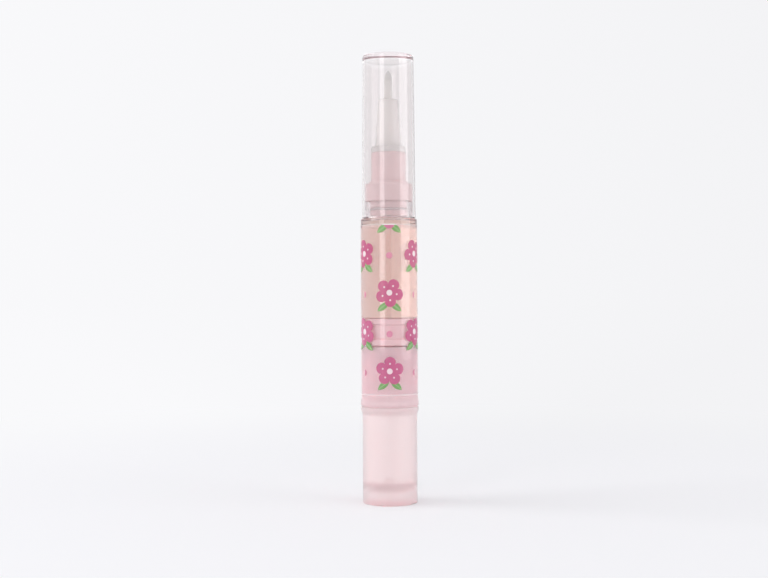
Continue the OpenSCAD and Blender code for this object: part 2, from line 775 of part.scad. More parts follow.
// Knob: the grip, its lip under the barrel, its floor and the lugs that turn the driver
module knob() {
    lip_r = foot_r - lip_step;
    lip_low = knob_top - knob_lip_h;
    recess_z = knob_top - lip_recess;
    snap_z = cup_top + turn_gap;
    color([0.93, 0.8, 0.82]) union() {
        turned([
            [0, knob_recess], [cavity_r, knob_recess], [cavity_r, 0], [knob_r - edge, 0],
            [knob_r, edge], [knob_r, lip_low - knob_bevel_h], [lip_r, lip_low],
            [lip_r, knob_top - edge], [lip_r - edge, knob_top], [flange_r + flange_gap, knob_top],
            [flange_r + flange_gap, recess_z], [cavity_r, recess_z], [cavity_r, snap_z + snap_h],
            [cavity_r - snap_reach, snap_z + snap_h / 2], [cavity_r, snap_z],
            [cavity_r, floor_top], [0, floor_top]
        ]);
        intersection() {
            for (i = [0:lug_count - 1])
                rotate(360 / lug_count * i)
                    translate([cavity_r - lug_t, -lug_w / 2, floor_top - ridge_bury])
                        cube([lug_t + ridge_bury, lug_w, lug_h + ridge_bury]);
            translate([0, 0, knob_recess]) cylinder(r = cavity_r + ridge_bury, h = knob_top);
        }
    }
}

// Plug pressed into the recess under the knob. The pen stands on it
module end_plug() {
    plug_r = cavity_r - seat_gap;
    color([0.93, 0.74, 0.78]) turned([
        [0, 0], [plug_r, 0], [plug_r, plug_floor + plug_ring_h],
        [plug_r - plug_ring_wall, plug_floor + plug_ring_h], [plug_r - plug_ring_wall, plug_floor],
        [0, plug_floor]
    ]);
}

cap();
brush_tuft();
brush_holder();
nozzle();
front_collar();
collar_seal();
barrel();
label_film();
oil_fill();
piston();
screw_rod();
thread_nut();
ratchet_ring();
guide_sleeve();
drag_ring();
driver_sleeve();
knob();
end_plug();
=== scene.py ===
import math
import random

import bpy
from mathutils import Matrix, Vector


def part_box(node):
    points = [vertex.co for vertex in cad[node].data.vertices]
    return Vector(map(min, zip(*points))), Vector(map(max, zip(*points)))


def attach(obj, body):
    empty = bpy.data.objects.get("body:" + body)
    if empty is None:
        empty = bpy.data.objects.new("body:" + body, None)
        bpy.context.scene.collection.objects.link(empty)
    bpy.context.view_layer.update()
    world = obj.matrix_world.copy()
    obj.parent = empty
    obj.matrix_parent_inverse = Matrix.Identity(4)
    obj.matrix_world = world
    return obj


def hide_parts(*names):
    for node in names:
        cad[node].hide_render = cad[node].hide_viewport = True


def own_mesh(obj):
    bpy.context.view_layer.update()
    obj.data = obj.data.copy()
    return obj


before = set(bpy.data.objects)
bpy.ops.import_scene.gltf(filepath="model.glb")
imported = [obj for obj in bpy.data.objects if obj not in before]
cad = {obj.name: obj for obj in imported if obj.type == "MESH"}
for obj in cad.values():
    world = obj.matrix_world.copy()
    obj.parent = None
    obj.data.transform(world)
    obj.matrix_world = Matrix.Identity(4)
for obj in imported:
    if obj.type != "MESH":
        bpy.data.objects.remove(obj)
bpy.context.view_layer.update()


# End plug: a disc with a low ring, pressed into the recess under the knob. It is injection moulded
# from polypropylene that is tinted pink right through, so its thick disc looks pinker than the knob's
# thin wall. The mould's spark-eroded faces leave it satin.

MM = 0.001


def linear(hex_colour):
    """An sRGB hex colour as the linear colour that a shader takes."""
    shares = [int(hex_colour[i:i + 2], 16) / 255 for i in (1, 3, 5)]
    return [s / 12.92 if s <= 0.04045 else ((s + 0.055) / 1.055) ** 2.4 for s in shares] + [1.0]


def add(tree, kind, inputs=None, **settings):
    """Adds a node with its settings. An input takes a value, a socket, or a node by its first output."""
    node = tree.nodes.new(kind)
    for name, value in settings.items():
        setattr(node, name, value)
    for key, value in (inputs or {}).items():
        if isinstance(value, bpy.types.Node):
            value = next(socket for socket in value.outputs if socket.enabled)
        if isinstance(value, bpy.types.NodeSocket):
            tree.links.new(value, node.inputs[key])
        else:
            node.inputs[key].default_value = value
    return node


def start_material(name):
    """A material with nothing in it yet, and its node tree."""
    made = bpy.data.materials.new(name)
    made.use_nodes = True
    made.node_tree.nodes.clear()
    return made, made.node_tree


def finish_node(name, made):
    """Puts a material on every slot of a CAD node."""
    for material_slot in cad[name].material_slots:
        material_slot.material = made


plug_pp, tree = start_material("tinted polypropylene, thick, satin moulded")
# Spark-eroded mould faces have pits of about 0.03 mm. They are drawn at 0.12 mm, which still shows
pit_mm = 0.12
relief = 0.02 * MM
# Pigment is never stirred in quite evenly. It leaves clouds of a few millimetres, a shade apart
pigment_mm = 4
place = add(tree, "ShaderNodeTexCoord").outputs["Object"]
pits = add(tree, "ShaderNodeTexNoise", {"Vector": place, "Scale": 1 / (pit_mm * MM), "Detail": 2.0})
grain = add(tree, "ShaderNodeBump", {"Height": pits, "Strength": 0.15, "Distance": relief})
cloud = add(tree, "ShaderNodeTexNoise", {"Vector": place, "Scale": 1 / (pigment_mm * MM), "Detail": 3.0})
disc_tint = add(tree, "ShaderNodeMix", {"Factor": cloud, "A": linear("#FCD9DE"), "B": linear("#FCDDE2")},
                data_type="RGBA")
# The thin ring on the disc looks paler, because less of the tint lies behind its face
disc_top = 1.7 * MM
paler_from = 0.8 * disc_top
axes = add(tree, "ShaderNodeSeparateXYZ", {"Vector": place})
on_ring = add(tree, "ShaderNodeMapRange", {
    "Value": axes.outputs["Z"], "From Min": paler_from, "From Max": disc_top})
tint = add(tree, "ShaderNodeMix", {"Factor": on_ring, "A": disc_tint, "B": linear("#FFFEFE")},
           data_type="RGBA")
surface = add(tree, "ShaderNodeBsdfPrincipled", {
    "Base Color": tint, "Roughness": 0.25, "IOR": 1.49,
    "Transmission Weight": 0.2, "Normal": grain})
add(tree, "ShaderNodeOutputMaterial", {"Surface": surface})
finish_node("end_plug", plug_pp)


# Knob: the foot of the pen and the grip that is turned, which snaps onto the sleeve. It is one moulding in
# the same tinted polypropylene, satin outside and slightly cloudy. Its wall is only 1 mm thick, so the
# white driver inside makes its middle paler, and the tint gathers at its foot.

knob_pp, tree = start_material("tinted polypropylene, thin wall, satin moulded")
place = add(tree, "ShaderNodeTexCoord").outputs["Object"]
pits = add(tree, "ShaderNodeTexNoise", {"Vector": place, "Scale": 1 / (pit_mm * MM), "Detail": 2.0})
grain = add(tree, "ShaderNodeBump", {"Height": pits, "Strength": 0.06, "Distance": relief})
cloud = add(tree, "ShaderNodeTexNoise", {"Vector": place, "Scale": 1 / (pigment_mm * MM), "Detail": 3.0})
tint = add(tree, "ShaderNodeMix", {"Factor": cloud, "A": linear("#FDF6F6"), "B": linear("#FDF9F9")},
           data_type="RGBA")
surface = add(tree, "ShaderNodeBsdfPrincipled", {
    "Base Color": tint, "Roughness": 0.28, "IOR": 1.49,
    "Transmission Weight": 0.72, "Normal": grain})
# Light that crosses 10 mm of it keeps 94 % of its red, 77 % of its green and 79 % of its blue
pink_per_metre = 26
depth = add(tree, "ShaderNodeVolumeAbsorption", {"Color": (0.767, 0.0, 0.07, 1.0), "Density": pink_per_metre})
add(tree, "ShaderNodeOutputMaterial", {"Surface": surface, "Volume": depth})
finish_node("knob", knob_pp)


# Driver sleeve, feed screw, nut and ratchet ring: the works. The driver is fixed in the knob, the nut and
# the ring in the guide sleeve, and the screw winds through the nut. They are moulded in natural acetal,
# which is milky white, only just lets light through and has a dull, even shine.

acetal, tree = start_material("acetal, natural white, moulded")
place = add(tree, "ShaderNodeTexCoord").outputs["Object"]
# Natural acetal is a shade uneven, in faint clouds of a few millimetres
acetal_cloud_mm = 5
cloud = add(tree, "ShaderNodeTexNoise", {"Vector": place, "Scale": 1 / (acetal_cloud_mm * MM), "Detail": 2.0})
tint = add(tree, "ShaderNodeMix", {"Factor": cloud, "A": linear("#FCF8F7"), "B": linear("#FEFCFB")},
           data_type="RGBA")
surface = add(tree, "ShaderNodeBsdfPrincipled", {
    "Base Color": tint, "Roughness": 0.38, "IOR": 1.48})
add(tree, "ShaderNodeOutputMaterial", {"Surface": surface})
for name in ("driver_sleeve", "screw_rod", "thread_nut", "ratchet_ring"):
    finish_node(name, acetal)


# Drag ring and collar seal: two rings moulded in silicone rubber. One lies in the sleeve's groove and
# drags on the driver's cup, the other seals the collar in the neck. Silicone is a translucent grey, and
# its soft skin shines dully.

silicone, tree = start_material("silicone rubber, translucent, moulded")
place = add(tree, "ShaderNodeTexCoord").outputs["Object"]
# The skin of moulded rubber has the mould's fine lapping marks. They are drawn at 0.3 mm, which shows
skin_mm = 0.3
skin = add(tree, "ShaderNodeTexNoise", {"Vector": place, "Scale": 1 / (skin_mm * MM), "Detail": 2.0})
grain = add(tree, "ShaderNodeBump", {"Height": skin, "Strength": 0.1, "Distance": relief})
surface = add(tree, "ShaderNodeBsdfPrincipled", {
    "Base Color": linear("#F1EFF0"), "Roughness": 0.42, "IOR": 1.41,
    "Transmission Weight": 0.5, "Normal": grain})
add(tree, "ShaderNodeOutputMaterial", {"Surface": surface})
for name in ("drag_ring", "collar_seal"):
    finish_node(name, silicone)


# Guide sleeve: the tinted polypropylene insert that is pressed into the foot of the barrel, holds the nut
# and carries the knob. Its faces are frosted, so it looks matt and the screw hardly shows through it.

frosted, tree = start_material("tinted polypropylene, frosted")
place = add(tree, "ShaderNodeTexCoord").outputs["Object"]
pits = add(tree, "ShaderNodeTexNoise", {"Vector": place, "Scale": 1 / (pit_mm * MM), "Detail": 2.0})
grain = add(tree, "ShaderNodeBump", {"Height": pits, "Strength": 0.2, "Distance": relief})
surface = add(tree, "ShaderNodeBsdfPrincipled", {
    "Base Color": linear("#FEEEF0"), "Roughness": 0.4, "IOR": 1.49,
    "Transmission Weight": 0.15, "Normal": grain})
add(tree, "ShaderNodeOutputMaterial", {"Surface": surface})
finish_node("guide_sleeve", frosted)


def lathe(name, outline, sides=192, crease=25):
    """A closed solid of revolution round the pen's axis, from an outline in radius and height, in mm.

    The outline starts and ends on the axis, or else is a ring's whole section. Edges that bend by more
    than the crease, in degrees, stay sharp."""
    points, faces, first = [], [], []
    for radius, height in outline:
        first.append(len(points))
        if radius == 0:
            points.append((0.0, 0.0, height * MM))
            continue
        for i in range(sides):
            angle = 2 * math.pi * i / sides
            points.append((radius * math.cos(angle) * MM, radius * math.sin(angle) * MM, height * MM))
    for row in range(len(outline) if outline[0][0] else len(outline) - 1):
        after = (row + 1) % len(outline)
        low, high = first[row], first[after]
        for i in range(sides):
            k = (i + 1) % sides
            if outline[row][0] == 0:
                faces.append((low, high + k, high + i))
            elif outline[after][0] == 0:
                faces.append((low + i, low + k, high))
            else:
                faces.append((low + i, low + k, high + k, high + i))
    mesh = bpy.data.meshes.new(name)
    mesh.from_pydata(points, [], faces)
    mesh.shade_smooth()
    mesh.set_sharp_from_angle(angle=math.radians(crease))
    mesh.update()
    obj = bpy.data.objects.new(name, mesh)
    bpy.context.scene.collection.objects.link(obj)
    return obj


# A press fit leaves no air between sleeve and bore, so a skin of the sleeve's own plastic reaches into
# the bore's wall here. With air between them the wall would mirror, and look like a clear strip on each side
barrel_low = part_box("barrel")[0]
sleeve_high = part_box("guide_sleeve")[1]
oil_low, oil_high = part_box("oil_fill")
# The bore is measured from the CAD's oil, which stands this far clear of it
cad_side_gap = 0.05
bore_r = oil_high.x / MM + cad_side_gap
skin_in = 0.04
skin_out = 0.02
foot_margin = 0.2
head_margin = 0.1
skin_foot = barrel_low.z / MM + foot_margin
skin_head = sleeve_high.z / MM - head_margin
skin = lathe("sleeve_press_fit", [
    (bore_r - skin_in, skin_foot), (bore_r + skin_out, skin_foot),
    (bore_r + skin_out, skin_head), (bore_r - skin_in, skin_head)])
skin.data.materials.append(frosted)
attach(skin, "barrel")


# Piston: a plug moulded in tinted polyethylene, with two lips that wipe the bore. The feed screw's head
# snaps into it from below. Polyethylene is waxy, so it is cloudy inside and shines dully.

polyethylene, tree = start_material("tinted polyethylene, moulded")
place = add(tree, "ShaderNodeTexCoord").outputs["Object"]
cloud = add(tree, "ShaderNodeTexNoise", {"Vector": place, "Scale": 1 / (pigment_mm * MM), "Detail": 2.0})
tint = add(tree, "ShaderNodeMix", {"Factor": cloud, "A": linear("#F5D3D5"), "B": linear("#F6D9DA")},
           data_type="RGBA")
surface = add(tree, "ShaderNodeBsdfPrincipled", {
    "Base Color": tint, "Roughness": 0.35, "IOR": 1.51,
    "Transmission Weight": 0.2})
add(tree, "ShaderNodeOutputMaterial", {"Surface": surface})
finish_node("piston", polyethylene)


# Barrel: the tube that holds the oil, with the neck for the cap and a ring at its foot. It is moulded from
# clear styrene-acrylonitrile in polished steel, and looks like glass. A trace of pink in it only shows
# where one looks along a wall, at the rims and the outlines.

clear_san, tree = start_material("styrene-acrylonitrile, clear, polished")
place = add(tree, "ShaderNodeTexCoord").outputs["Object"]
# The melt leaves waves of a few millimetres in a moulded wall, which bend a reflection slightly
flow_mm = 7
wave_height = 0.2 * MM
flow = add(tree, "ShaderNodeTexNoise", {"Vector": place, "Scale": 1 / (flow_mm * MM), "Detail": 1.0})
waves = add(tree, "ShaderNodeBump", {"Height": flow, "Strength": 0.05, "Distance": wave_height})
surface = add(tree, "ShaderNodeBsdfPrincipled", {
    "Base Color": linear("#FEFDFD"), "Roughness": 0.02, "IOR": 1.57,
    "Transmission Weight": 0.96, "Normal": waves})
# Light that crosses 10 mm of it keeps 96 % of its red, 86 % of its green and 89 % of its blue
san_per_metre = 15
tint = add(tree, "ShaderNodeVolumeAbsorption", {"Color": (0.717, 0.0, 0.208, 1.0), "Density": san_per_metre})
add(tree, "ShaderNodeOutputMaterial", {"Surface": surface, "Volume": tint})
finish_node("barrel", clear_san)


# Cap: a deep cup moulded from clear polystyrene, which is pushed over the neck and held by its bead. It
# has a glassy shine and is a little greyer than the barrel, with a trace of pink that gathers in the
# thick closed end.

clear_ps, tree = start_material("polystyrene, clear, polished")
place = add(tree, "ShaderNodeTexCoord").outputs["Object"]
flow = add(tree, "ShaderNodeTexNoise", {"Vector": place, "Scale": 1 / (flow_mm * MM), "Detail": 1.0})
waves = add(tree, "ShaderNodeBump", {"Height": flow, "Strength": 0.05, "Distance": wave_height})
# The grey, which each pass adds, darkens the closed end, where light bounces many times. So the closed end is
# painted white instead of grey, a painted lift of that shade.
# The two depths are in millimetres below the cap's top
cap_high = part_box("cap")[1]
full_grey_below = 3.2
no_grey_above = 1.8
axes = add(tree, "ShaderNodeSeparateXYZ", {"Vector": place})
end_painted_white = add(tree, "ShaderNodeMapRange", {
    "Value": axes.outputs["Z"], "From Min": cap_high.z - full_grey_below * MM,
    "From Max": cap_high.z - no_grey_above * MM})
grey_painted_white_in_end = add(tree, "ShaderNodeMix", {"Factor": end_painted_white, "A": linear("#F5F2F2"), "B": linear("#FFFFFF")},
           data_type="RGBA")
surface = add(tree, "ShaderNodeBsdfPrincipled", {
    "Base Color": grey_painted_white_in_end, "Roughness": 0.02, "IOR": 1.59,
    "Transmission Weight": 0.97, "Normal": waves})
# Light that crosses 10 mm of it keeps 99 % of its red, 95 % of its green and 96 % of its blue
ps_per_metre = 5
tint = add(tree, "ShaderNodeVolumeAbsorption", {"Color": (0.83, 0.0, 0.15, 1.0), "Density": ps_per_metre})
add(tree, "ShaderNodeOutputMaterial", {"Surface": surface, "Volume": tint})
finish_node("cap", clear_ps)


# Oil: the filling of the chamber, a thin plant oil that is clear and peach-coloured. It wets the bore, so it
# is drawn a hair wider than the bore, and no air lies between them. It shortens as the piston rises.

cad_foot_gap = 0.15
wetting = 0.03
oil_foot = oil_low.z / MM - cad_foot_gap
oil_head = oil_high.z / MM
oil_r = bore_r + wetting
oil = lathe("nail_oil", [(0, oil_foot), (oil_r, oil_foot), (oil_r, oil_head), (0, oil_head)])

plant_oil, tree = start_material("plant oil, peach")
surface = add(tree, "ShaderNodeBsdfPrincipled", {
    "Base Color": (1.0, 1.0, 1.0, 1.0), "Roughness": 0.0, "IOR": 1.47, "Transmission Weight": 1.0})
# Light that crosses 15 mm of it keeps 86 % of its red, 63 % of its green and 52 % of its blue
oil_per_metre = 44
tint = add(tree, "ShaderNodeVolumeAbsorption", {
    "Color": (0.764, 0.289, 0.018, 1.0), "Density": oil_per_metre})
add(tree, "ShaderNodeOutputMaterial", {"Surface": surface, "Volume": tint})
oil.data.materials.append(plant_oil)
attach(oil, "barrel")
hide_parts("oil_fill")
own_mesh(oil)

# The oil above the piston's highest place wets the barrel's cone all the way up, and its level stands a
# little below the cone's top. The neck above it holds air
collar_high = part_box("front_collar")[1]
neck_wall = 1.4
joint_gap = 0.01
cone_up = 0.1
cone_h = 2.4
level_drop = 0.25
neck_r = collar_high.x / MM - neck_wall + wetting
joint = oil_head + joint_gap
cone_foot = oil_head + cone_up
cone_top = cone_foot + cone_h
neck_oil = lathe("nail_oil_in_neck", [
    (0, joint), (oil_r, joint), (oil_r, cone_foot), (neck_r, cone_top),
    (neck_r, cone_top - level_drop), (0, cone_top - level_drop)])
neck_oil.data.materials.append(plant_oil)
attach(neck_oil, "barrel")


# Front collar: the plug that closes the barrel's neck and carries the nozzle, moulded from the tinted
# polypropylene. A polished mould leaves it glossy, and its thick wall lets little light through.

collar_pp, tree = start_material("tinted polypropylene, glossy")
place = add(tree, "ShaderNodeTexCoord").outputs["Object"]
cloud = add(tree, "ShaderNodeTexNoise", {"Vector": place, "Scale": 1 / (pigment_mm * MM), "Detail": 2.0})
tint = add(tree, "ShaderNodeMix", {"Factor": cloud, "A": linear("#F6DEDF"), "B": linear("#F7E2E3")},
           data_type="RGBA")
surface = add(tree, "ShaderNodeBsdfPrincipled", {
    "Base Color": tint, "Roughness": 0.15, "IOR": 1.49,
    "Transmission Weight": 0.25})
add(tree, "ShaderNodeOutputMaterial", {"Surface": surface})
finish_node("front_collar", collar_pp)


# Nozzle and brush holder: the cone that snaps into the collar, and the plug in it that grips the bristles.
# They are moulded from natural polypropylene without tint, which is milky, so that the bundle shows
# through the nozzle's wall only as a soft shade.

milky_pp, tree = start_material("polypropylene, natural milky")
place = add(tree, "ShaderNodeTexCoord").outputs["Object"]
# Natural polypropylene crystallises unevenly, in milky clouds of a few millimetres
milk_cloud_mm = 2.5
cloud = add(tree, "ShaderNodeTexNoise", {"Vector": place, "Scale": 1 / (milk_cloud_mm * MM), "Detail": 2.0})
tint = add(tree, "ShaderNodeMix", {"Factor": cloud, "A": linear("#FCFAF9"), "B": linear("#FEFCFB")},
           data_type="RGBA")
surface = add(tree, "ShaderNodeBsdfPrincipled", {
    "Base Color": tint, "Roughness": 0.2, "IOR": 1.49,
    "Transmission Weight": 0.5})
add(tree, "ShaderNodeOutputMaterial", {"Surface": surface})
for name in ("nozzle", "brush_holder"):
    finish_node(name, milky_pp)


# Bristles: a bundle of tapered ivory nylon filaments, welded into a slice at the root and trimmed to a
# dome at the tip. Each is a thin tube of its own, and they close in a little towards the tip. Nylon gives
# them a soft silky shine.

tuft_low, tuft_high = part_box("brush_tuft")
tuft_r = tuft_high.x / MM
tuft_foot = tuft_low.z / MM
tuft_tip = tuft_high.z / MM
slice_h = 0.6
filaments = 640
filament_sides = 5
filament_rings = 9
filament_r = 0.052
filament_tip_share = 0.45
dome = 2.2
lean_share = 0.14
trim_spread = 0.35
drift_spread = 0.05
sway_spread = 0.04
golden_angle = math.pi * (3 - math.sqrt(5))
chance = random.Random(7)

points, faces = [], []
slice_sides = 48
for z in (tuft_foot, tuft_foot + slice_h):
    for i in range(slice_sides):
        angle = 2 * math.pi * i / slice_sides
        points.append((tuft_r * math.cos(angle) * MM, tuft_r * math.sin(angle) * MM, z * MM))
faces.append(tuple(reversed(range(slice_sides))))
faces.append(tuple(range(slice_sides, 2 * slice_sides)))
for i in range(slice_sides):
    k = (i + 1) % slice_sides
    faces.append((i, k, slice_sides + k, slice_sides + i))

for n in range(filaments):
    share = math.sqrt((n + 0.5) / filaments)
    spread = (tuft_r - filament_r) * share
    angle = golden_angle * n
    tip_z = tuft_tip - dome * share ** 2 - chance.uniform(0, trim_spread)
    drift = chance.uniform(-drift_spread, drift_spread)
    sway = chance.uniform(-sway_spread, sway_spread)
    phase = chance.uniform(0, 2 * math.pi)
    start = len(points)
    for ring in range(filament_rings):
        t = ring / (filament_rings - 1)
        z = tuft_foot + slice_h / 2 + (tip_z - tuft_foot - slice_h / 2) * t
        reach = spread * (1 - lean_share * t ** 2) + min(sway, 0) * math.sin(math.pi * t)
        turn = angle + drift * t
        radius = filament_r * (1 - (1 - filament_tip_share) * t ** 2)
        for side in range(filament_sides):
            a = phase + 2 * math.pi * side / filament_sides
            points.append(((reach * math.cos(turn) + radius * math.cos(a)) * MM,
                           (reach * math.sin(turn) + radius * math.sin(a)) * MM, z * MM))
    for ring in range(filament_rings - 1):
        for side in range(filament_sides):
            a = start + ring * filament_sides + side
            b = start + ring * filament_sides + (side + 1) % filament_sides
            faces.append((a, b, b + filament_sides, a + filament_sides))
    faces.append(tuple(start + side for side in reversed(range(filament_sides))))
    top = start + (filament_rings - 1) * filament_sides
    faces.append(tuple(top + side for side in range(filament_sides)))

mesh = bpy.data.meshes.new("bristles")
mesh.from_pydata(points, [], faces)
mesh.shade_smooth()
mesh.update()
bristles = bpy.data.objects.new("bristles", mesh)
bpy.context.scene.collection.objects.link(bristles)

nylon, tree = start_material("nylon filament, ivory")
place = add(tree, "ShaderNodeTexCoord").outputs["Object"]
# Each filament takes its own shade, from a noise as fine as a filament and stretched along the bundle
strand_mm = 0.1
streak_length_mm = 30
strand = add(tree, "ShaderNodeMapping", {"Vector": place, "Scale": (
    1 / (strand_mm * MM), 1 / (strand_mm * MM), 1 / (streak_length_mm * MM))})
shade = add(tree, "ShaderNodeTexNoise", {"Vector": strand, "Scale": 1.0, "Detail": 1.0})
tint = add(tree, "ShaderNodeMix", {"Factor": shade, "A": linear("#FFFDFA"), "B": linear("#FFFFFF")},
           data_type="RGBA")
surface = add(tree, "ShaderNodeBsdfPrincipled", {
    "Base Color": tint, "Roughness": 0.3, "IOR": 1.53})
add(tree, "ShaderNodeOutputMaterial", {"Surface": surface})
bristles.data.materials.append(nylon)
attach(bristles, "barrel")
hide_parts("brush_tuft")


# Label: a clear polypropylene film, wrapped round the barrel and lapped at the back. It is printed in
# see-through inks with scattered five-petalled blossoms, a pair of leaves under each, and small buds.
# Sizes of the print are in millimetres. Each point is placed by how far it lies round and up the film.

film_low, film_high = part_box("label_film")
film_r = film_high.x / MM
blossom_r = 4.3
petals_each = 5
petal_floor = 0.60
petal_fullness = 0.55
blossom_turn = 2.0
eye_r = 0.86
dot_r = 0.265
dot_out = 2.24
leaf_half_length = 2.3
leaf_half_width = 0.95
leaf_aside = 1.9
leaf_below = 4.1
leaf_turn = math.radians(38)
rib_half_width = 0.09
bud_r = 0.95
bud_below = 0.6
ink_edge = 0.06
columns = 3
column_pitch = 2 * math.pi * film_r / columns
row_pitch = 11.6
first_row_up = 7.2
first_row = film_low.z / MM + first_row_up
rows_repeat = 2.0
front_share = 0.75

film, tree = start_material("polypropylene film, printed in see-through inks")
place = add(tree, "ShaderNodeTexCoord").outputs["Object"]
axes = add(tree, "ShaderNodeSeparateXYZ", {"Vector": place})
forwards = add(tree, "ShaderNodeMath", {0: axes.outputs["Y"], 1: -1.0}, operation="MULTIPLY")
azimuth = add(tree, "ShaderNodeMath", {0: axes.outputs["X"], 1: forwards}, operation="ARCTAN2")
around = add(tree, "ShaderNodeMath", {0: azimuth, 1: film_r}, operation="MULTIPLY")
along = add(tree, "ShaderNodeMath", {0: axes.outputs["Z"], 1: MM}, operation="DIVIDE")

# The cell that a point lies in: rows up the barrel, every second one shifted by half a column. The row
# below the first has a negative number, so a whole repeat is added before the remainder is taken
above_first = add(tree, "ShaderNodeMath", {0: along, 1: first_row}, operation="SUBTRACT")
rows_up = add(tree, "ShaderNodeMath", {0: above_first, 1: row_pitch}, operation="DIVIDE")
row = add(tree, "ShaderNodeMath", {0: rows_up}, operation="ROUND")
above_zero = add(tree, "ShaderNodeMath", {0: row, 1: rows_repeat}, operation="ADD")
odd = add(tree, "ShaderNodeMath", {0: above_zero, 1: rows_repeat}, operation="MODULO")
shift = add(tree, "ShaderNodeMath", {0: odd, 1: column_pitch / 2}, operation="MULTIPLY")
shifted = add(tree, "ShaderNodeMath", {0: around, 1: shift}, operation="SUBTRACT")
cell_x = add(tree, "ShaderNodeMath", {0: shifted, 1: column_pitch / 2, 2: -column_pitch / 2},
             operation="WRAP")
to_middle = add(tree, "ShaderNodeMath", {0: shifted, 1: cell_x}, operation="SUBTRACT")
columns_round = add(tree, "ShaderNodeMath", {0: to_middle, 1: column_pitch}, operation="DIVIDE")
column = add(tree, "ShaderNodeMath", {0: columns_round}, operation="ROUND")
row_z = add(tree, "ShaderNodeMath", {0: row, 1: row_pitch, 2: first_row}, operation="MULTIPLY_ADD")
cell_y = add(tree, "ShaderNodeMath", {0: along, 1: row_z}, operation="SUBTRACT")
cell = add(tree, "ShaderNodeCombineXYZ", {"X": column, "Y": row})
dice = add(tree, "ShaderNodeTexWhiteNoise", {"Vector": cell}, noise_dimensions="3D")

# Five round petals, as a radius that swells and shrinks with the angle. Each blossom is turned by chance
from_middle = add(tree, "ShaderNodeCombineXYZ", {"X": cell_x, "Y": cell_y})
distance = add(tree, "ShaderNodeVectorMath", {0: from_middle}, operation="LENGTH")
bearing = add(tree, "ShaderNodeMath", {0: cell_x, 1: cell_y}, operation="ARCTAN2")
turned = add(tree, "ShaderNodeMath", {0: dice, 1: blossom_turn, 2: bearing}, operation="MULTIPLY_ADD")
wave = add(tree, "ShaderNodeMath", {0: turned, 1: petals_each / 2}, operation="MULTIPLY")
wave = add(tree, "ShaderNodeMath", {0: wave}, operation="COSINE")
wave = add(tree, "ShaderNodeMath", {0: wave}, operation="ABSOLUTE")
swell = add(tree, "ShaderNodeMath", {0: wave, 1: petal_fullness}, operation="POWER")
reach = add(tree, "ShaderNodeMath", {0: swell, 1: 1 - petal_floor, 2: petal_floor}, operation="MULTIPLY_ADD")
reach = add(tree, "ShaderNodeMath", {0: reach, 1: blossom_r}, operation="MULTIPLY")
inside = add(tree, "ShaderNodeMath", {0: reach, 1: distance}, operation="SUBTRACT")
petals = add(tree, "ShaderNodeMapRange", {"Value": inside, "From Max": ink_edge},
             interpolation_type="SMOOTHSTEP")

# A pale eye, and a pale dot in the middle of each petal
eye = add(tree, "ShaderNodeMath", {0: distance, 1: eye_r}, operation="LESS_THAN")
half_petal = math.pi / petals_each
off_petal = add(tree, "ShaderNodeMath", {0: turned, 1: half_petal, 2: -half_petal}, operation="WRAP")
side_share = add(tree, "ShaderNodeMath", {0: off_petal}, operation="SINE")
out_share = add(tree, "ShaderNodeMath", {0: off_petal}, operation="COSINE")
on_petal = add(tree, "ShaderNodeCombineXYZ", {"X": side_share, "Y": out_share})
on_petal = add(tree, "ShaderNodeVectorMath", {0: on_petal, "Scale": distance}, operation="SCALE")
to_dot = add(tree, "ShaderNodeVectorMath", {0: on_petal, 1: (0.0, dot_out, 0.0)}, operation="DISTANCE")
dot = add(tree, "ShaderNodeMath", {0: to_dot, 1: dot_r}, operation="LESS_THAN")
pale = add(tree, "ShaderNodeMath", {0: eye, 1: dot}, operation="MAXIMUM")

# A pair of leaves, mirrored about the blossom's middle line
aside = add(tree, "ShaderNodeMath", {0: cell_x}, operation="ABSOLUTE")
mirrored = add(tree, "ShaderNodeCombineXYZ", {"X": aside, "Y": cell_y})
from_leaf = add(tree, "ShaderNodeVectorMath", {0: mirrored, 1: (leaf_aside, -leaf_below, 0.0)},
                operation="SUBTRACT")
on_leaf = add(tree, "ShaderNodeVectorRotate", {"Vector": from_leaf, "Angle": leaf_turn},
              rotation_type="Z_AXIS")
axes = add(tree, "ShaderNodeSeparateXYZ", {"Vector": on_leaf})
off_rib = add(tree, "ShaderNodeMath", {0: axes.outputs["Y"]}, operation="ABSOLUTE")
leaf_share = add(tree, "ShaderNodeMath", {0: axes.outputs["X"], 1: leaf_half_length}, operation="DIVIDE")
leaf_share = add(tree, "ShaderNodeMath", {0: leaf_share, 1: leaf_share}, operation="MULTIPLY")
leaf_edge = add(tree, "ShaderNodeMath", {0: leaf_share, 1: -leaf_half_width, 2: leaf_half_width},
                operation="MULTIPLY_ADD")
inside = add(tree, "ShaderNodeMath", {0: leaf_edge, 1: off_rib}, operation="SUBTRACT")
leaves = add(tree, "ShaderNodeMapRange", {"Value": inside, "From Max": ink_edge},
             interpolation_type="SMOOTHSTEP")
rib = add(tree, "ShaderNodeMath", {0: off_rib, 1: rib_half_width}, operation="LESS_THAN")

# A bud half way between two blossoms of a row
to_bud = add(tree, "ShaderNodeVectorMath", {0: mirrored, 1: (column_pitch / 2, -bud_below, 0.0)},
             operation="DISTANCE")
buds = add(tree, "ShaderNodeMath", {0: to_bud, 1: bud_r}, operation="LESS_THAN")

